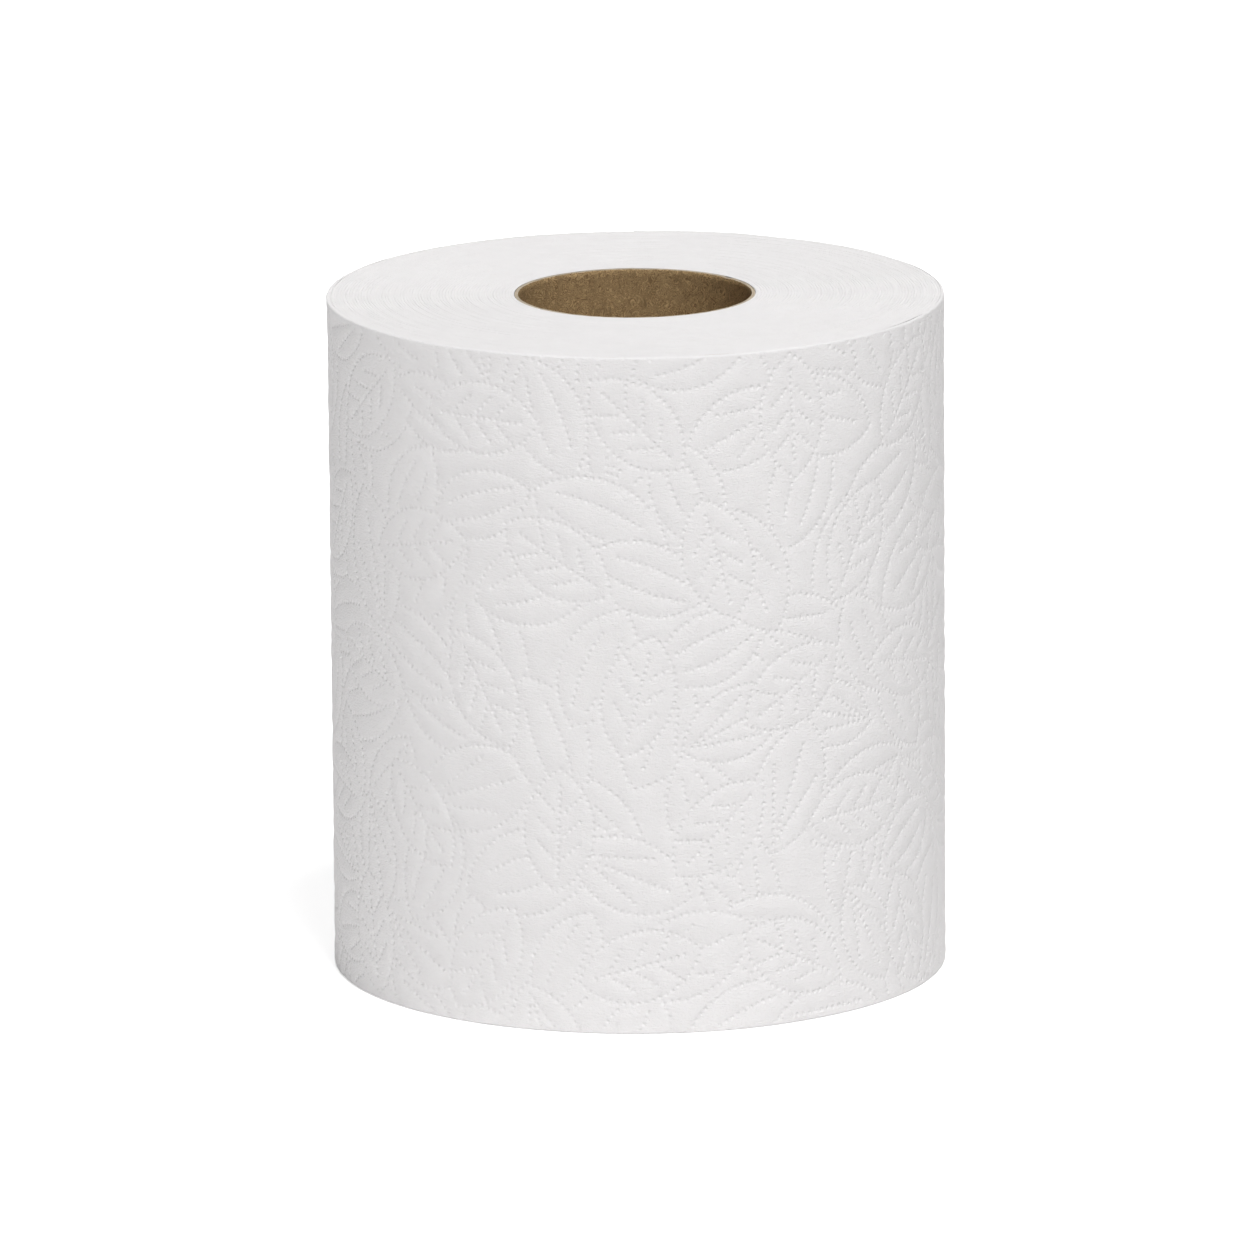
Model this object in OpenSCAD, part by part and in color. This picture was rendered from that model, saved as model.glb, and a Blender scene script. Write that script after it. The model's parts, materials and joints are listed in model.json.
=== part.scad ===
// Toilet paper roll standing on its end: a continuous web of tissue wound on a paperboard core.
// Millimetres, +Z up, origin on the roll's axis at the plane it stands on.

/* [Roll] */
// Width of the web, which is the height of the standing roll
roll_width = 114.3; // [90:0.1:130]
// Mean diameter of the wound roll
roll_diameter = 102.8; // [80:0.1:140]
// Thickness that one turn of the soft embossed web takes up in the roll
sheet_caliper = 0.5; // [0.4:0.01:1]

/* [Core] */
// Outside diameter of the paperboard tube
core_diameter = 40.2; // [30:0.1:50]
// Wall thickness of the paperboard tube
core_wall = 0.6; // [0.4:0.05:1.5]
// Room for the transfer glue between the tube and the first turn
glue_gap = 0.05; // [0.02:0.01:0.1]

/* [Turns] */
// Depth of the gap between two turns on the ends of the roll
turn_gap_depth = 0.12; // [0.05:0.01:0.3]
// Width of that gap
turn_gap_width = 0.16; // [0.05:0.01:0.2]
// Angle left uncut on each side of the line where two half turns meet
seam_land_angle = 0.3; // [0.1:0.1:1]
// Height and depth of the softened edge round each rim of the roll
rim_softening = 0.4; // [0.2:0.05:1]

/* [Embossing] */
// Leaves in each row round the roll
leaf_columns = 12; // [8:1:14]
// Rows of leaves
leaf_rows = 5; // [3:1:6]
// Length of a leaf from tip to tip
leaf_length = 21; // [12:0.5:24]
// Width of a leaf at its middle
leaf_width = 12; // [7:0.5:14]
// Width of an embossed line
line_width = 0.8; // [0.4:0.05:1.2]
// Depth of an embossed line
line_depth = 0.25; // [0.1:0.01:0.35]

/* [Hidden] */
$fn = 96;

// Overrun of every cut past the face that it opens
overrun = 1;
core_bore = core_diameter - 2 * core_wall;
winding_radius = core_diameter / 2 + glue_gap;
wound_depth = roll_diameter / 2 - winding_radius;

// Half a turn is spent in rising from the core to the first full turn
turn_count = round(wound_depth / sheet_caliper - 1 / 2);
turn_pitch = wound_depth / (turn_count + 1 / 2);

// The spiral is drawn as half turns about two centres, each this far from the axis
centre_shift = turn_pitch / 4;
inner_half_radius = winding_radius + centre_shift;
outer_half_radius = inner_half_radius + turn_pitch / 2;

// Each side of a leaf is an arc of this radius
leaf_bow_radius = (pow(leaf_length, 2) + pow(leaf_width, 2)) / (4 * leaf_width);

// The midrib and the places where the side veins leave it follow the leaf's length, the side veins its width
midrib_share = 0.72;
vein_start_shares = [-0.27, -0.08, 0.11];
vein_length_share = 0.32;
vein_angle = 45;
golden_angle = 180 * (3 - sqrt(5));

// A die starts this far inside the wall: the wall's sag along half a leaf, and some overrun
die_reach = roll_diameter / 2 - sqrt(pow(roll_diameter / 2, 2) - pow(leaf_length / 2, 2)) + overrun;

// Bearing of the loose end of the web, on the side that faces away
tail_bearing = 90;

kraft = [0.66, 0.54, 0.39];
tissue_white = [0.96, 0.96, 0.955];

// Turns a profile about a centre beside the axis, over an angle centred on the half's own middle
module half_turn(shift, middle, angle) {
    translate([shift, 0, 0])
        rotate([0, 0, middle - angle / 2])
            rotate_extrude(angle = angle)
                children();
}

// Half of the wound web, as a plain body with softened rims, or the same body inside a skin
module half_winding(first_radius, shift, middle, skin = 0) {
    rim = first_radius + turn_count * turn_pitch - skin;
    inside = winding_radius - overrun;
    half_turn(shift, middle, 180)
        polygon([
            [inside, 0],
            [rim - rim_softening, 0],
            [rim, rim_softening],
            [rim, roll_width - rim_softening],
            [rim - rim_softening, roll_width],
            [inside, roll_width]
        ]);
}

// The gaps between the turns of that half, on both ends
module half_turn_gaps(first_radius, shift, middle) {
    half_turn(shift, middle, 180 - 2 * seam_land_angle)
        for (k = [1 : turn_count - 1])
            for (level = [-overrun, roll_width - turn_gap_depth])
                translate([first_radius + k * turn_pitch - turn_gap_width / 2, level])
                    square([turn_gap_width, turn_gap_depth + overrun]);
}

// The whole winding before its bore is cut
module winding(skin = 0) {
    half_winding(inner_half_radius, -centre_shift, 90, skin);
    half_winding(outer_half_radius, centre_shift, 270, skin);
}

// Pointed oval between two arcs, with its tips on the X axis
module leaf_outline(inset) {
    intersection_for(side = [-1, 1])
        translate([0, side * (leaf_bow_radius - leaf_width / 2)])
            circle(r = leaf_bow_radius - inset);
}

// Lines of one leaf: its margin, its midrib and the side veins in pairs
module leaf_lines() {
    difference() {
        leaf_outline(0);
        leaf_outline(line_width);
    }
    square([leaf_length * midrib_share, line_width], center = true);
    for (start_share = vein_start_shares, side = [-1, 1])
        translate([leaf_length * start_share, 0])
            rotate(side * vein_angle)
                translate([0, -line_width / 2])
                    square([leaf_width * vein_length_share, line_width]);
}

// Dies that press the leaves into the wall, in staggered rows, each turned on by the golden angle
module leaf_dies() {
    for (row = [0 : leaf_rows - 1], column = [0 : leaf_columns - 1])
        rotate([0, 0, (column + (row % 2) / 2) * 360 / leaf_columns])
            translate([roll_diameter / 2 - die_reach, 0, (row + 1 / 2) * roll_width / leaf_rows])
                rotate([0, 90, 0])
                    rotate([0, 0, (row * leaf_columns + column) * golden_angle])
                        linear_extrude(die_reach + overrun)
                            leaf_lines();
}

// Spirally wound paperboard tube, cut off flush with the web
module core() {
    color(kraft)
        difference() {
            cylinder(h = roll_width, d = core_diameter);
            translate([0, 0, -overrun])
                cylinder(h = roll_width + 2 * overrun, d = core_bore);
        }
}

// The wound web: two half spirals that meet turn for turn, with the tail as a step one sheet high
module paper_roll() {
    color(tissue_white)
        rotate([0, 0, tail_bearing])
            difference() {
                winding();
                translate([0, 0, -overrun])
                    cylinder(h = roll_width + 2 * overrun, r = winding_radius);
                half_turn_gaps(inner_half_radius, -centre_shift, 90);
                half_turn_gaps(outer_half_radius, centre_shift, 270);
                difference() {
                    leaf_dies();
                    winding(line_depth);
                }
            }
}

core();
paper_roll();
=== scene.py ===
"""Looks of a toilet paper roll: embossed outer sheet, wound ends and paperboard core, in metres."""

import json
import math

import bpy
import numpy as np
from mathutils import Matrix, Vector
from mathutils.kdtree import KDTree


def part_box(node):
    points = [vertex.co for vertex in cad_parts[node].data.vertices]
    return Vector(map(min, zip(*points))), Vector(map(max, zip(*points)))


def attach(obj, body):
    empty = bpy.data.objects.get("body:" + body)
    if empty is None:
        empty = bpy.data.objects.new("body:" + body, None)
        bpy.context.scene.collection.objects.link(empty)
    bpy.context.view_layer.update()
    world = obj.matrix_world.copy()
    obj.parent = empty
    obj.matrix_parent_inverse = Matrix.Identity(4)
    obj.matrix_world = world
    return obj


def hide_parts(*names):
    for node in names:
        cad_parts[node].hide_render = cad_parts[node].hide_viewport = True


MM = 0.001
FULL_TURN = 2 * math.pi
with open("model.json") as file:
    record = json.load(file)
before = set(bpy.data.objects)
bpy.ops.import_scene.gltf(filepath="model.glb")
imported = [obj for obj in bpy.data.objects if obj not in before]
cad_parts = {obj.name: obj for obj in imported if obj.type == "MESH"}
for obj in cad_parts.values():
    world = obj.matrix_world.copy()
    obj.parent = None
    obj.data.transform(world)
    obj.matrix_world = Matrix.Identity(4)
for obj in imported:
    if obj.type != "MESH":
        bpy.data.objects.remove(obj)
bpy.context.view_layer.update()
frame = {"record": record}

# Sizes that the solids give
core_low, core_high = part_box("core")
roll_low, roll_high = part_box("paper_roll")
HEIGHT = roll_high[2] - roll_low[2]
CORE_RADIUS = (core_high[0] - core_low[0]) / 2
ROLL_RADIUS = (roll_high[0] - roll_low[0]) / 2
BORE_RADIUS = frame["record"]["mounts"][0]["dims"]["r_mm"] * MM

# The winding, as the solids have it
TURN_PITCH = 0.5 * MM
TURNS = round((ROLL_RADIUS - CORE_RADIUS) / TURN_PITCH - 0.5)
WINDING_RADIUS = ROLL_RADIUS - (TURNS + 0.5) * TURN_PITCH
TAIL_BEARING = math.radians(90)
CIRCUMFERENCE = FULL_TURN * ROLL_RADIUS

# The web is perforated into sheets of this length, and each shown sheet is a piece
SHEET_LENGTH = 101.6 * MM

# Leaves of the solids, in shares of a leaf's length where a name says so
LEAF_COLUMNS = 12
LEAF_ROWS = 5
LEAF_LENGTH = 21 * MM
LEAF_WIDTH = 12 * MM
LEAF_WIDTH_SHARE = LEAF_WIDTH / LEAF_LENGTH
MIDRIB_SHARE = 0.72
GOLDEN_ANGLE = math.pi * (3 - math.sqrt(5))

# Side veins leave the midrib at 45 degrees, and their length is a share of the leaf's width
VEIN_START_SHARES = (-0.27, -0.08, 0.11)
VEIN_LENGTH_SHARE = 0.32
VEIN_REACH_SHARE = VEIN_LENGTH_SHARE * LEAF_WIDTH_SHARE * math.sqrt(0.5)
VEIN_SPAN_SHARES = (0.4, 1.3)

# More leaves that lie beneath those and show between them
UNDER_COLUMNS = 18
UNDER_ROWS = 10
UNDER_LENGTH = 22 * MM
UNDER_SIZE_SPREAD = 0.15
UNDER_PLACE_SPREAD = 0.2

# Veins of those leaves, in shares of their length along them and of their half width across
FAN_ROOT_SHARE = -0.42
FAN_TIP_SHARES = ((0.12, 0.68), (0.32, 0), (0.12, -0.68))
RIB_END_SHARES = (-0.34, 0.26)
RIB_ACROSS_SHARE = 0.36

# Rows of dots along the lines of the leaves, and the soft creases that they pull in
DOT_PITCH = 1.2 * MM
DOT_CLEARANCE = 0.75 * MM
DOT_STRAY = 0.04 * MM
DOT_SPREAD = 0.4 * MM
DOT_DEPTH = 0.14 * MM
DOT_DEPTH_SHARES = (0.8, 1.1)
DEEPEST_SHARE = 1.3
DOT_RADIUS = 0.46 * MM
FINE_DOT_DEPTH = 0.11 * MM
SHORTEST_RUN = 3 * MM
LINE_STEP = 0.3 * MM
CREASE_SPREAD = 1.15 * MM
CREASE_DEPTH = 0.13 * MM

# A place far from every dot, in dot radii, and how many faces away a dot still reaches
NO_DOT = 9.0
DOT_REACH = 2

# Grid of the outer sheet
GRID_COLUMNS = 896
GRID_STEP = CIRCUMFERENCE / GRID_COLUMNS
PATTERN_MARGIN = 12 * MM

# Rims of the outer sheet
RIM_ROUND = 0.4 * MM
RIM_STEPS = 4
RIM_DIP = 0.06 * MM
RIM_DIP_START_SHARE = 0.85
RIM_RELIEF_SHARE = 0.3
RIM_ZONE = 0.5 * MM

# How the outer sheet departs from a true spiral: waves as a height and a count round the roll
SWELLS = ((0.10 * MM, 11), (0.06 * MM, 23))
RIM_WAVE = 0.07 * MM
RIM_WAVE_COUNT = 37
FLARE = 0.2 * MM
FLARE_BEARING = math.radians(192)
FLARE_DEPTH = 2.4 * MM
FLARE_FOCUS = 3
TAIL_LIFT = 0.15 * MM
TAIL_LIFT_LENGTH = 5 * MM

# Edges of the inner turns: across one turn, each place as a share, its rise in mm and its share of the ripple
END_PROFILE = ((0, -0.04, 0), (0.16, 0, 1), (0.5, 0.012, 1), (0.84, 0, 1), (1, -0.04, 0))
END_STEPS = 144
END_RIPPLE = 0.03 * MM
END_RIPPLES_A_TURN = 3

# The core's cut from the inside out: share of the wall and depth in mm, with a line between the two plies
CUT_PROFILE = (
    (0, 3),
    (0, 1),
    (0, 0.08),
    (0.12, 0),
    (0.42, 0.02),
    (0.48, 0.1),
    (0.54, 0.03),
    (0.88, 0.01),
    (1, 0.08),
    (1, 1),
    (1, 3),
)

# Steps of that profile that lie on the cut itself
CUT_STEPS = range(2, 8)

# Grid of the tube, and how its cut is frayed: waves as a height and a count round the tube
CORE_COLUMNS = 300
CORE_INSIDE_ROWS = 40
CORE_OUTSIDE_ROWS = 12
FRAYS = ((0.05 * MM, 90), (0.04 * MM, 31))
FRAY_ZONE = 0.25 * MM
NICK_DEPTH = 0.1 * MM
NICK_BEARING = math.radians(38)
NICK_HALF_WIDTH = math.radians(2.6)

rng = np.random.default_rng(seed=20)


def new_object(name, points, faces, normals=None, uv=None, dots=None):
    """A mesh object from vertex and quad arrays, smooth shaded.

    The web's coordinates go by vertex and those round the embossed dots by corner of a face."""
    mesh = bpy.data.meshes.new(name)
    mesh.vertices.add(len(points))
    mesh.vertices.foreach_set("co", np.ascontiguousarray(points, dtype=np.float32).ravel())
    mesh.loops.add(faces.size)
    mesh.loops.foreach_set("vertex_index", np.ascontiguousarray(faces, dtype=np.int32).ravel())
    mesh.polygons.add(len(faces))
    mesh.polygons.foreach_set("loop_start", np.arange(0, faces.size, 4, dtype=np.int32))
    if uv is not None:
        layer = mesh.uv_layers.new(name="web")
        layer.data.foreach_set("uv", np.ascontiguousarray(uv[faces.ravel()], dtype=np.float32).ravel())
    if dots is not None:
        layer = mesh.uv_layers.new(name="dots")
        layer.data.foreach_set("uv", np.ascontiguousarray(dots, dtype=np.float32).ravel())
    mesh.update(calc_edges=True)
    mesh.shade_smooth()
    if normals is not None:
        mesh.normals_split_custom_set_from_vertices(normals.tolist())
    piece = bpy.data.objects.new(name, mesh)
    bpy.context.scene.collection.objects.link(piece)
    return piece


def grid_faces(rows, columns, closed=False):
    """Quads of a grid of vertices stored row by row, with the last column joined to the first if closed."""
    row = np.arange(rows - 1)[:, None] * columns
    left = np.arange(columns if closed else columns - 1)[None, :]
    right = (left + 1) % columns
    below = row + columns
    return np.stack([row + left, row + right, below + right, below + left], -1).reshape(-1, 4)


def on_cylinder(radius, angle, height):
    """Points from cylindrical coordinates."""
    return np.stack([radius * np.cos(angle), radius * np.sin(angle), height], -1)


def near_ends(height, depth):
    """Which heights lie within a depth of either end of the roll."""
    return np.minimum(height, HEIGHT - height) < depth


def smooth_noise(positions, period, count):
    """Seeded periodic noise along one direction, between -1 and 1."""
    values = rng.uniform(-1, 1, count)
    place = positions / period * count
    low = np.floor(place).astype(int)
    blend = place - low
    blend = blend * blend * (3 - 2 * blend)
    return values[low % count] * (1 - blend) + values[(low + 1) % count] * blend


def round_waves(angle, waves):
    """Sum of noises round the roll, each given by its height and its count."""
    return sum(height * smooth_noise(angle, FULL_TURN, count) for height, count in waves)


def round_the_roll(distance):
    """A distance round the outer turn, taken the shorter way."""
    return (distance + CIRCUMFERENCE / 2) % CIRCUMFERENCE - CIRCUMFERENCE / 2


def leaf_half_width(along):
    """Half the width of a leaf at a place along it, both as shares of its length from the middle."""
    bow = (1 + LEAF_WIDTH_SHARE**2) / (4 * LEAF_WIDTH_SHARE)
    return np.sqrt(bow**2 - np.asarray(along) ** 2) - bow + LEAF_WIDTH_SHARE / 2


def leaf_lines(style):
    """The margins and veins of a leaf of unit length, as polylines: ribbed, feathered or fanned veins."""
    along = np.linspace(-0.5, 0.5, 60)
    lines = [np.stack([along, side * leaf_half_width(along)], -1) for side in (-1, 1)]
    if style == "fanned":
        root = (FAN_ROOT_SHARE, 0)
        return lines + [np.array([root, (x, share * leaf_half_width(x))]) for x, share in FAN_TIP_SHARES]
    if style == "ribbed":
        rib = np.linspace(*RIB_END_SHARES, 30)
        across = RIB_ACROSS_SHARE * leaf_half_width(rib)
        return lines + [np.stack([rib, side * across], -1) for side in (-1, 1)]
    midrib = np.linspace(-MIDRIB_SHARE / 2, MIDRIB_SHARE / 2, 40)
    lines.append(np.stack([midrib, 0 * midrib], -1))
    ends = [share * VEIN_REACH_SHARE for share in VEIN_SPAN_SHARES]
    for start in VEIN_START_SHARES:
        for side in (-1, 1):
            lines.append(np.array([(start + end, side * end) for end in ends]))
    return lines


def along_line(line, step):
    """Points a step apart along a polyline."""
    lengths = np.concatenate([[0], np.cumsum(np.hypot(*np.diff(line, axis=0).T))])
    count = max(2, round(lengths[-1] / step) + 1)
    places = np.linspace(0, lengths[-1], count)
    return np.stack([np.interp(places, lengths, line[:, i]) for i in (0, 1)], -1)


def leaf_lattice(columns, rows, first_row, row_pitch):
    """Centre and tilt of the leaves of a lattice with staggered rows, each turned on by the golden angle."""
    row, column = [place.ravel() for place in np.mgrid[0:rows, 0:columns]]
    centre_u = (column + 0.5 * (row % 2)) * CIRCUMFERENCE / columns
    centre_v = first_row + row * row_pitch
    tilt = (row * columns + column) * GOLDEN_ANGLE - math.pi / 2
    return np.stack([centre_u, centre_v, tilt], -1)


def scatter_leaves():
    """Centre, tilt and length of every leaf, in the order in which they lie over one another."""
    row_pitch = HEIGHT / LEAF_ROWS
    leaves = leaf_lattice(LEAF_COLUMNS, LEAF_ROWS, row_pitch / 2, row_pitch)
    leaves = np.column_stack([leaves, np.full(len(leaves), LEAF_LENGTH)])
    under_pitch = HEIGHT / (UNDER_ROWS - 1)
    under = leaf_lattice(UNDER_COLUMNS, UNDER_ROWS, 0, under_pitch)
    stray = rng.uniform(-UNDER_PLACE_SPREAD, UNDER_PLACE_SPREAD, (len(under), 2))
    under[:, :2] += stray * (CIRCUMFERENCE / UNDER_COLUMNS, under_pitch)
    size = 1 + rng.uniform(-UNDER_SIZE_SPREAD, UNDER_SIZE_SPREAD, len(under))
    under = rng.permutation(np.column_stack([under, UNDER_LENGTH * size]))
    return np.concatenate([leaves, under])


def covered(points, leaf):
    """Which points of the unrolled web lie on a leaf."""
    centre, tilt, length = leaf[:2], leaf[2], leaf[3]
    off = points - centre
    off[:, 0] = round_the_roll(off[:, 0])
    cos, sin = math.cos(tilt), math.sin(tilt)
    along, across = (off @ np.array([[cos, -sin], [sin, cos]]) / length).T
    return (np.abs(along) < 0.5) & (np.abs(across) < leaf_half_width(np.clip(along, -0.5, 0.5)))


def long_runs(shown, shortest):
    """The points of a line that are shown in runs of at least the shortest count."""
    edges = np.flatnonzero(np.diff(np.concatenate([[0], shown.astype(int), [0]])))
    kept = np.zeros(len(shown), bool)
    for start, end in edges.reshape(-1, 2):
        kept[start:end] = end - start >= shortest
    return kept


def embossed_points(leaves, step):
    """Points a step apart along the lines of all leaves, without what lies under another leaf."""
    main_lines = leaf_lines("feathered")
    under_lines = [leaf_lines("ribbed"), leaf_lines("fanned")]
    kept = []
    for j, (u, v, tilt, length) in enumerate(leaves):
        lines = main_lines if j < LEAF_COLUMNS * LEAF_ROWS else under_lines[j % 2]
        local = [along_line(line, step / length) * length for line in lines]
        cos, sin = math.cos(tilt), math.sin(tilt)
        points = np.concatenate(local) @ np.array([[cos, sin], [-sin, cos]]) + (u, v)
        shown = np.ones(len(points), bool)
        away = np.hypot(round_the_roll(leaves[:j, 0] - u), leaves[:j, 1] - v)
        for i in np.flatnonzero(away < (leaves[:j, 3] + length) / 2):
            shown &= ~covered(points, leaves[i])
        ends = np.cumsum([len(line) for line in local])[:-1]
        runs = [long_runs(part, SHORTEST_RUN / step) for part in np.split(shown, ends)]
        kept.append(points[np.concatenate(runs)])
    return np.concatenate(kept)


def thinned(points, clearance):
    """The points that keep a clearance from every point kept before them."""
    tree = KDTree(len(points))
    for i, (u, v) in enumerate(points):
        tree.insert((u, v, 0), i)
    tree.balance()
    kept = np.ones(len(points), bool)
    for i, (u, v) in enumerate(points):
        kept[i] = not any(j < i and kept[j] for _, j, _ in tree.find_range((u, v, 0), clearance))
    return points[kept]


class Relief:
    """Height and slopes of the embossed web on a grid over the unrolled outer turn, and its dots."""

    def __init__(self):
        self.columns = GRID_COLUMNS
        self.rows = round((HEIGHT + 2 * PATTERN_MARGIN) / GRID_STEP)
        u = np.minimum(np.arange(self.columns), self.columns - np.arange(self.columns)) * GRID_STEP
        v = np.minimum(np.arange(self.rows), self.rows - np.arange(self.rows)) * GRID_STEP
        distance = np.hypot(v[:, None], u[None, :])
        leaves = scatter_leaves()
        lines = embossed_points(leaves, LINE_STEP)
        dots = thinned(embossed_points(leaves, DOT_PITCH), DOT_CLEARANCE)
        self.dots = dots + rng.normal(0, DOT_STRAY, dots.shape)
        depths = rng.uniform(*DOT_DEPTH_SHARES, len(dots))
        pits = self.spread(self.dots, depths, np.exp(-((distance / DOT_SPREAD) ** 2)))
        crease = self.spread(lines, np.ones(len(lines)), np.exp(-((distance / CREASE_SPREAD) ** 2)))
        crease *= LINE_STEP / (CREASE_SPREAD * math.sqrt(math.pi))
        pits = np.minimum(pits, DEEPEST_SHARE)
        self.height = CREASE_DEPTH * (0.5 - np.tanh(crease)) - DOT_DEPTH * pits
        spectrum = np.fft.rfft2(self.height)
        wave_u = 2j * math.pi * np.fft.rfftfreq(self.columns, GRID_STEP)[None, :]
        wave_v = 2j * math.pi * np.fft.fftfreq(self.rows, GRID_STEP)[:, None]
        self.slope_u = np.fft.irfft2(spectrum * wave_u, s=self.height.shape)
        self.slope_v = np.fft.irfft2(spectrum * wave_v, s=self.height.shape)

    def spread(self, points, weights, kernel):
        """Weighted points spread out by a kernel that wraps round the roll."""
        field = np.zeros((self.rows, self.columns))
        u = points[:, 0] / GRID_STEP
        v = (points[:, 1] + PATTERN_MARGIN) / GRID_STEP
        low_u, low_v = np.floor(u).astype(int), np.floor(v).astype(int)
        share_u, share_v = u - low_u, v - low_v
        for step_u, part_u in ((0, 1 - share_u), (1, share_u)):
            for step_v, part_v in ((0, 1 - share_v), (1, share_v)):
                place = ((low_v + step_v) % self.rows, (low_u + step_u) % self.columns)
                np.add.at(field, place, weights * part_u * part_v)
        return np.fft.irfft2(np.fft.rfft2(field) * np.fft.rfft2(kernel), s=field.shape)

    def nearest_dots(self, heights):
        """Centre of the dot nearest to each face between the heights, or infinity where none is near."""
        column = np.floor(self.dots[:, 0] / GRID_STEP).astype(int)
        row = np.searchsorted(-heights, -self.dots[:, 1]) - 1
        nearest = np.full((len(heights) - 1, self.columns), np.inf)
        centre = np.full((*nearest.shape, 2), np.inf)
        reach = range(-DOT_REACH, DOT_REACH + 1)
        for step_v, step_u in [(down, right) for down in reach for right in reach]:
            r, c = row + step_v, column + step_u
            inside = (r >= 0) & (r < len(nearest))
            r, c, dot = r[inside], c[inside], self.dots[inside]
            middle = np.stack([(c + 0.5) * GRID_STEP, (heights[r] + heights[r + 1]) / 2], -1)
            gap = np.hypot(*(middle - dot).T)
            c = c % self.columns
            closer = gap < nearest[r, c]
            r, c, dot, gap = r[closer], c[closer], dot[closer], gap[closer]
            nearest[r, c] = gap
            centre[r, c] = dot
        return centre

    def round_dots(self, heights):
        """Coordinates round the nearest dot, in dot radii, at the corners of each face between heights."""
        centre = self.nearest_dots(heights)
        across = np.arange(self.columns + 1) * GRID_STEP
        away = np.empty((*centre.shape[:2], 4, 2))
        for k, (down, right) in enumerate([(0, 0), (0, 1), (1, 1), (1, 0)]):
            u = across[right : right + self.columns][None, :] - centre[..., 0]
            away[:, :, k, 0] = round_the_roll(u)
            away[:, :, k, 1] = heights[down : down + len(centre)][:, None] - centre[..., 1]
        return np.where(np.isfinite(centre[:, :, None, :]), away / DOT_RADIUS, NO_DOT)

    def at(self, field, heights):
        """A field in every column at the given heights on the roll."""
        place = (heights + PATTERN_MARGIN) / GRID_STEP
        low = np.floor(place).astype(int)
        share = (place - low)[:, None]
        rows = field[low] * (1 - share) + field[low + 1] * share
        return np.concatenate([rows, rows[:, :1]], 1)


def sheet_section():
    """Outline across the outermost turn, from its inner top edge round to its inner bottom edge.

    Each point is (radius from the outer face, height, share of the relief)."""
    top = [(-TURN_PITCH, HEIGHT - RIM_DIP, 0), (-RIM_DIP_START_SHARE * TURN_PITCH, HEIGHT, 0)]
    for bend in np.linspace(0, math.pi / 2, RIM_STEPS + 1):
        inward = RIM_ROUND * (1 - math.sin(bend))
        below = RIM_ROUND * (1 - math.cos(bend))
        top.append((-inward, HEIGHT - below, RIM_RELIEF_SHARE * math.sin(bend)))
    wall_rows = round((HEIGHT - 2 * RIM_ROUND) / GRID_STEP)
    wall = [(0, z, 1) for z in np.linspace(HEIGHT - RIM_ROUND, RIM_ROUND, wall_rows + 1)[1:-1]]
    bottom = [(r, HEIGHT - z, share) for r, z, share in reversed(top)]
    return np.array(top + wall + bottom)


def outer_surface(section, turned):
    """Points of the outermost turn before its embossing, at angles turned from the tail's bearing."""
    spiral = ROLL_RADIUS + TURN_PITCH * (turned / FULL_TURN - 0.5)
    angle = TAIL_BEARING + turned
    height = np.repeat(section[:, 1:2], len(turned), 1)
    on_face = section[:, 2:3] > 0
    swell = round_waves(turned, SWELLS)
    facing = np.maximum(0, np.cos(angle - FLARE_BEARING)) ** FLARE_FOCUS
    flare = FLARE * facing * np.exp(-(HEIGHT - height) / FLARE_DEPTH) * on_face
    lift = TAIL_LIFT * np.exp(-(FULL_TURN - turned) * ROLL_RADIUS / TAIL_LIFT_LENGTH)
    radius = spiral + section[:, 0:1] + flare + (swell + lift) * on_face
    wave = RIM_WAVE * smooth_noise(turned, FULL_TURN, RIM_WAVE_COUNT)
    height = height + wave * near_ends(height, RIM_ZONE)
    return on_cylinder(radius, np.broadcast_to(angle, radius.shape), height)


def embossed(points, section, turned, relief):
    """The points of the outermost turn pressed in by the relief, and their normals."""
    normals = np.cross(np.gradient(points, axis=1), -np.gradient(points, axis=0))
    normals /= np.linalg.norm(normals, axis=-1, keepdims=True)
    heights, share = section[:, 1], section[:, 2:3]
    angle = TAIL_BEARING + turned
    pressed = points + (share * relief.at(relief.height, heights))[..., None] * normals
    slope_u = share * relief.at(relief.slope_u, heights)
    slope_v = share * relief.at(relief.slope_v, heights)
    normals[..., 0] += slope_u * np.sin(angle)
    normals[..., 1] -= slope_u * np.cos(angle)
    normals[..., 2] -= slope_v
    normals /= np.linalg.norm(normals, axis=-1, keepdims=True)
    return pressed, normals


def outer_sheets(relief):
    """The outermost turn with its embossing, one piece for each sheet, and the cut end of its tail."""
    section = sheet_section()
    turned = np.linspace(0, FULL_TURN, GRID_COLUMNS + 1)
    points = outer_surface(section, turned)
    uv = np.stack(np.broadcast_arrays(turned * ROLL_RADIUS, points[..., 2]), -1) / SHEET_LENGTH
    points, normals = embossed(points, section, turned, relief)
    dots = relief.round_dots(section[:, 1])
    dots[section[1:, 2] < 1] = NO_DOT
    sheet_columns = round(SHEET_LENGTH / GRID_STEP)
    pieces = []
    last = GRID_COLUMNS
    while last > 0:
        first = max(0, last - sheet_columns)
        part = slice(first, last + 1)
        piece = new_object(
            f"outer_turn_{len(pieces) + 1}",
            points[:, part].reshape(-1, 3),
            grid_faces(len(section), last + 1 - first)[:, ::-1],
            normals[:, part].reshape(-1, 3),
            uv[:, part].reshape(-1, 2),
            dots[:, first:last, ::-1],
        )
        pieces.append(piece)
        last = first
    return pieces, tail_edge(points[:, -1], points[:, 0])


def tail_edge(outer, inner):
    """The cut end of the web, as a step from the loose end of the last turn down to the turn beneath."""
    points = np.stack([outer, inner], 1).reshape(-1, 3)
    uv = np.stack([points[:, 2], np.hypot(points[:, 0], points[:, 1])], -1) / SHEET_LENGTH
    return new_object("tail_edge", points, grid_faces(len(outer), 2)[:, ::-1], uv=uv)


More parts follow.
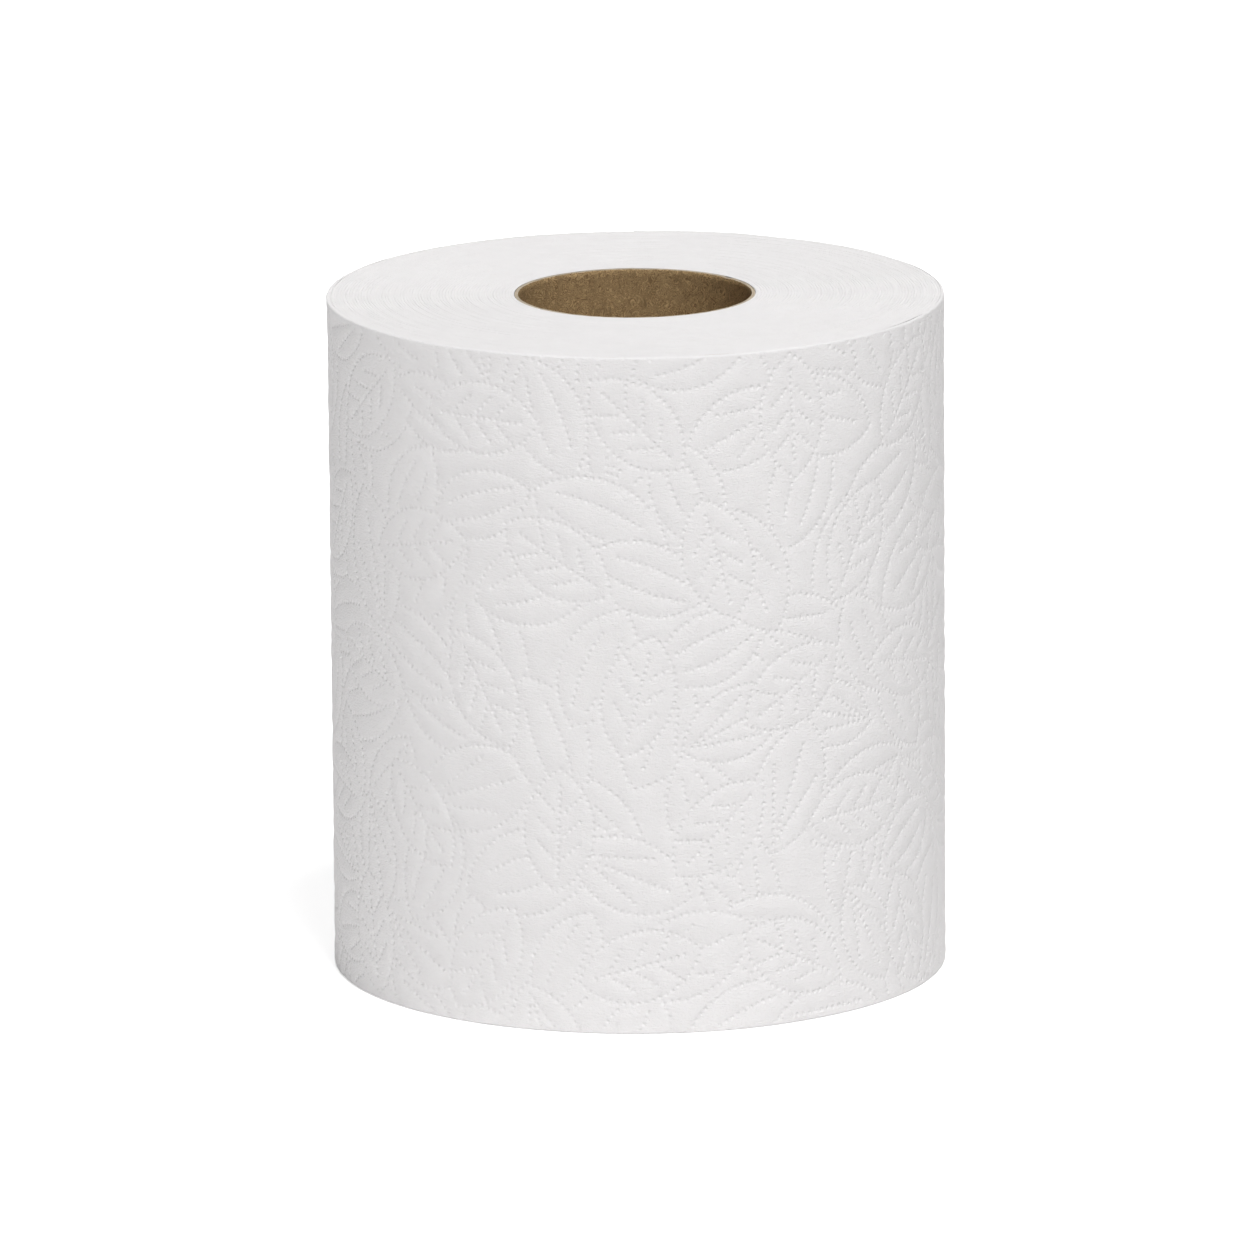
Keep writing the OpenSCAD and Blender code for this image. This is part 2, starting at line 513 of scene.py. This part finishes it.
def wound_end(name, level, outward):
    """The edges of all inner turns on one end, as one spiral strip from the core out."""
    turn = np.arange(TURNS * END_STEPS + 1) / END_STEPS
    inner = np.maximum(WINDING_RADIUS, WINDING_RADIUS + TURN_PITCH * (turn - 1))
    outer = WINDING_RADIUS + TURN_PITCH * turn
    angle = TAIL_BEARING + FULL_TURN * turn
    ripple = END_RIPPLE * smooth_noise(turn, TURNS, TURNS * END_RIPPLES_A_TURN)
    share, rise, crest = [column[:, None] for column in np.array(END_PROFILE).T]
    radius = inner + (outer - inner) * share
    height = level + outward * (rise * MM + crest * ripple)
    points = on_cylinder(radius, np.broadcast_to(angle, radius.shape), height)
    faces = grid_faces(len(share), len(turn))
    if outward > 0:
        faces = faces[:, ::-1]
    around = np.broadcast_to(angle * ROLL_RADIUS, radius.shape)
    uv = np.stack([around, radius], -1) / SHEET_LENGTH
    return new_object(name, points.reshape(-1, 3), faces, uv=uv.reshape(-1, 2))


def core_section():
    """Outline round the wall of the tube, and which of its steps are on the cuts.

    It runs up the inside, over the top rim, down the outside and under the bottom rim."""
    wall = CORE_RADIUS - BORE_RADIUS
    rim = [(BORE_RADIUS + share * wall, depth * MM) for share, depth in CUT_PROFILE]
    rim_depth = rim[0][1]
    upward = np.linspace(rim_depth, HEIGHT - rim_depth, CORE_INSIDE_ROWS)[1:-1]
    downward = np.linspace(HEIGHT - rim_depth, rim_depth, CORE_OUTSIDE_ROWS)[1:-1]
    inside = [(BORE_RADIUS, z) for z in upward]
    top = [(r, HEIGHT - depth) for r, depth in rim]
    outside = [(CORE_RADIUS, z) for z in downward]
    bottom = rim[::-1]
    starts = (len(inside), len(inside + top + outside))
    cut = [start + i for start in starts for i in CUT_STEPS]
    return np.array(inside + top + outside + bottom), cut


def core_tube():
    """The paperboard tube of two plies, with a slightly frayed cut.

    Its cut faces take the second material."""
    section, cut = core_section()
    section = np.concatenate([section, section[:1]])
    angle = np.arange(CORE_COLUMNS) * FULL_TURN / CORE_COLUMNS
    radius = np.repeat(section[:, 0:1], CORE_COLUMNS, 1)
    height = np.repeat(section[:, 1:2], CORE_COLUMNS, 1)
    fray = np.abs(round_waves(angle, FRAYS))
    nick = NICK_DEPTH * np.exp(-(((angle - NICK_BEARING) / NICK_HALF_WIDTH) ** 2))
    worn = near_ends(height, FRAY_ZONE) * (fray + nick * (height > HEIGHT / 2))
    height = height - np.sign(height - HEIGHT / 2) * worn
    points = on_cylinder(radius, np.broadcast_to(angle, radius.shape), height)
    faces = grid_faces(len(section), CORE_COLUMNS, closed=True)
    piece = new_object("core_tube", points.reshape(-1, 3), faces)
    which = np.zeros((len(section) - 1, CORE_COLUMNS), np.int32)
    which[cut] = 1
    piece.data.polygons.foreach_set("material_index", which.ravel())
    return piece


class Shader:
    """A node material that is put together step by step."""

    def __init__(self, name):
        self.material = bpy.data.materials.new(name)
        self.material.use_nodes = True
        self.tree = self.material.node_tree
        self.bsdf = self.tree.nodes["Principled BSDF"]

    def node(self, kind, **values):
        """A node with its properties and inputs set by name, where an underscore stands for a space."""
        made = self.tree.nodes.new(kind)
        for key, value in values.items():
            if hasattr(made, key):
                setattr(made, key, value)
            else:
                made.inputs[key.replace("_", " ").title()].default_value = value
        return made

    def link(self, source, output, target, socket):
        """Joins an output of one node to a socket of another."""
        self.tree.links.new(source.outputs[output], target.inputs[socket])

    def noise(self, coordinates, output, **values):
        """A noise texture at the given coordinates."""
        made = self.node("ShaderNodeTexNoise", **values)
        self.link(coordinates, output, made, "Vector")
        return made

    def bump(self, height, output, depth, under=None):
        """A relief of a depth by a height from 0 to 1, over another relief if there is one."""
        made = self.node("ShaderNodeBump", strength=1.0, distance=depth)
        self.link(height, output, made, "Height")
        if under is not None:
            self.link(under, "Normal", made, "Normal")
        return made

    def colours(self, factor, output, low, high, start, end):
        """Base colour between two tones, as a factor goes from start to end."""
        ramp = self.node("ShaderNodeValToRGB")
        first, last = ramp.color_ramp.elements
        first.position = start
        last.position = end
        first.color = (*low, 1)
        last.color = (*high, 1)
        self.link(factor, output, ramp, "Fac")
        self.link(ramp, "Color", self.bsdf, "Base Color")

    def finish(self, relief, roughness, specular):
        """The material with its last relief and its gloss."""
        self.link(relief, "Normal", self.bsdf, "Normal")
        self.bsdf.inputs["Roughness"].default_value = roughness
        self.bsdf.inputs["Specular IOR Level"].default_value = specular
        return self.material


def tissue_material(name, slope, grain, dot_depth=0.0):
    """Soft white tissue with loose fibres that run at a slope, in grains of a length and a breadth."""
    made = Shader(name)
    place = made.node("ShaderNodeTexCoord")
    slant = made.node("ShaderNodeMapping")
    slant.inputs["Rotation"].default_value = (0, 0, math.radians(slope))
    slant.inputs["Scale"].default_value = (SHEET_LENGTH / grain[0], SHEET_LENGTH / grain[1], 1)
    made.link(place, "UV", slant, "Vector")
    fibres = made.noise(slant, "Vector", scale=1.0, detail=3.0, roughness=0.6, distortion=0.6)
    fluff = made.noise(place, "Object", scale=2000.0, detail=4.0, roughness=0.65, distortion=0.8)
    clouds = made.noise(place, "Object", scale=260.0, detail=3.0, roughness=0.55)
    made.colours(clouds, "Fac", low=(0.815, 0.80, 0.80), high=(0.835, 0.82, 0.82), start=0.3, end=0.7)
    relief = made.bump(fluff, "Fac", depth=0.11 * MM)
    relief = made.bump(fibres, "Fac", depth=0.14 * MM, under=relief)
    if dot_depth > 0:
        round_dot = made.node("ShaderNodeUVMap", uv_map="dots")
        cone = made.node("ShaderNodeTexGradient", gradient_type="SPHERICAL")
        made.link(round_dot, "UV", cone, "Vector")
        pit = made.node("ShaderNodeMapRange", interpolation_type="SMOOTHSTEP")
        made.link(cone, "Fac", pit, "Value")
        relief = made.bump(pit, "Result", dot_depth, under=relief)
        relief.invert = True
    return made.finish(relief, roughness=0.95, specular=0.1)


def kraft_material(name, low, high):
    """Recycled paperboard with short swirling fibres and darker flecks."""
    made = Shader(name)
    place = made.node("ShaderNodeTexCoord")
    swirl = made.noise(place, "Object", scale=440.0, detail=2.0, roughness=0.5, distortion=2.0)
    strand_span = 0.045
    strands = made.node("ShaderNodeMath", operation="PINGPONG")
    strands.inputs[1].default_value = strand_span
    made.link(swirl, "Fac", strands, 0)
    share = made.node("ShaderNodeMapRange")
    share.inputs["From Max"].default_value = strand_span
    made.link(strands, "Value", share, "Value")
    specks = made.noise(place, "Object", scale=1500.0, detail=4.0, roughness=0.7)
    speck_share = 0.4
    pulp = made.node("ShaderNodeMix", data_type="FLOAT")
    # Sockets 0, 2 and 3 of a mix are its factor and its two plain numbers
    pulp.inputs[0].default_value = speck_share
    made.link(share, "Result", pulp, 2)
    made.link(specks, "Fac", pulp, 3)
    made.colours(pulp, 0, low, high, start=0.15, end=0.85)
    relief = made.bump(pulp, 0, depth=0.1 * MM)
    return made.finish(relief, roughness=0.9, specular=0.15)


def camera_share(tree, unseen, seen):
    """One strength for what the camera sees, directly or mirrored, and another for what lights the object."""
    path = tree.nodes.new("ShaderNodeLightPath")
    either = path.outputs["Is Camera Ray"]
    for kind in ("Is Glossy Ray", "Is Transmission Ray"):
        larger = tree.nodes.new("ShaderNodeMath")
        larger.operation = "MAXIMUM"
        tree.links.new(either, larger.inputs[0])
        tree.links.new(path.outputs[kind], larger.inputs[1])
        either = larger.outputs[0]
    level = tree.nodes.new("ShaderNodeMapRange")
    level.inputs["To Min"].default_value = unseen
    level.inputs["To Max"].default_value = seen
    tree.links.new(either, level.inputs["Value"])
    return level.outputs["Result"]


def pale_floor():
    """A plain pale floor that keeps the roll's shadow."""
    half_side = 12.0
    corners = [(x * half_side, y * half_side, 0) for x, y in ((-1, -1), (1, -1), (1, 1), (-1, 1))]
    mesh = bpy.data.meshes.new("floor")
    mesh.from_pydata(corners, [], [(0, 1, 2, 3)])
    floor = bpy.data.objects.new("floor", mesh)
    bpy.context.scene.collection.objects.link(floor)
    paint = Shader("floor_white")
    paint.bsdf.inputs["Base Color"].default_value = (0.95, 0.95, 0.95, 1)
    paint.bsdf.inputs["Roughness"].default_value = 1.0
    paint.bsdf.inputs["Specular IOR Level"].default_value = 0.0
    paint.bsdf.inputs["Emission Color"].default_value = (1, 1, 1, 1)
    strength = camera_share(paint.tree, unseen=0.0, seen=0.54)
    paint.tree.links.new(strength, paint.bsdf.inputs["Emission Strength"])
    mesh.materials.append(paint.material)


def white_world():
    """A white background that lights the roll only faintly."""
    world = bpy.data.worlds.new("studio")
    world.use_nodes = True
    sky = world.node_tree.nodes["Background"]
    sky.inputs["Color"].default_value = (1, 1, 1, 1)
    strength = camera_share(world.node_tree, unseen=0.02, seen=1.0)
    world.node_tree.links.new(strength, sky.inputs["Strength"])
    bpy.context.scene.world = world


def far_light(name, bearing, elevation, strength, spread):
    """A far light, with its angles in degrees and its bearing to the right of the camera's side."""
    lamp = bpy.data.lights.new(name, "SUN")
    lamp.energy = strength
    lamp.angle = math.radians(spread)
    light = bpy.data.objects.new(name, lamp)
    turn, rise = math.radians(bearing), math.radians(elevation)
    level = math.cos(rise)
    towards = Vector((math.sin(turn) * level, -math.cos(turn) * level, math.sin(rise)))
    light.rotation_euler = towards.to_track_quat("Z", "Y").to_euler()
    bpy.context.scene.collection.objects.link(light)


def photo_camera():
    """The photograph's view: a long lens from a little above, with a slight tilt to the horizon."""
    image_width = 1254
    focal_pixels = 14304.0
    distance = 2.3987
    elevation = math.radians(13.239)
    roll = math.radians(-0.436)
    centre_pixel = Vector((637.3, 626.2))
    lens = bpy.data.cameras.new("camera")
    lens.sensor_width = 36.0
    lens.lens = lens.sensor_width * focal_pixels / image_width
    forward = Vector((0, math.cos(elevation), -math.sin(elevation)))
    level = Vector((1, 0, 0))
    upright = level.cross(forward)
    right = math.cos(roll) * level + math.sin(roll) * upright
    up = right.cross(forward)
    scale = distance / focal_pixels
    off = right * (image_width / 2 - centre_pixel.x) * scale - up * (image_width / 2 - centre_pixel.y) * scale
    middle = Vector((0, 0, HEIGHT / 2))
    camera = bpy.data.objects.new("camera", lens)
    turn = Matrix((right, up, -forward)).transposed().to_4x4()
    camera.matrix_world = Matrix.Translation(middle + off - forward * distance) @ turn
    bpy.context.scene.collection.objects.link(camera)
    bpy.context.scene.camera = camera


bpy.context.scene.view_settings.view_transform = "Standard"
photo_camera()
pale_floor()
white_world()

# The two low lights reach the wall and hardly the inside of the core
far_light("key", bearing=32, elevation=65, strength=2.3, spread=20)
far_light("top", bearing=75, elevation=88, strength=0.45, spread=30)
far_light("front", bearing=-5, elevation=40, strength=0.55, spread=40)
far_light("low_front", bearing=-20, elevation=0.4, strength=0.3, spread=0.6)
far_light("low_left", bearing=-86, elevation=0.4, strength=0.32, spread=0.6)
far_light("back", bearing=180, elevation=12, strength=1.4, spread=40)

web = tissue_material("tissue_web", slope=35, grain=(0.8 * MM, 0.28 * MM), dot_depth=FINE_DOT_DEPTH)
edges = tissue_material("tissue_edges", slope=0, grain=(9 * MM, 0.3 * MM))
sheets, tail = outer_sheets(Relief())
ends = [wound_end("wound_end_top", HEIGHT, 1), wound_end("wound_end_bottom", 0, -1), tail]
for piece in sheets + ends:
    piece.data.materials.append(web if piece in sheets else edges)
    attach(piece, "root")
    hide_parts("paper_roll")

tube = core_tube()
tube.data.materials.append(kraft_material("core_board", low=(0.23, 0.146, 0.068), high=(0.675, 0.468, 0.243)))
tube.data.materials.append(kraft_material("core_cut", low=(0.44, 0.36, 0.26), high=(0.62, 0.53, 0.41)))
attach(tube, "root")
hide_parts("core")
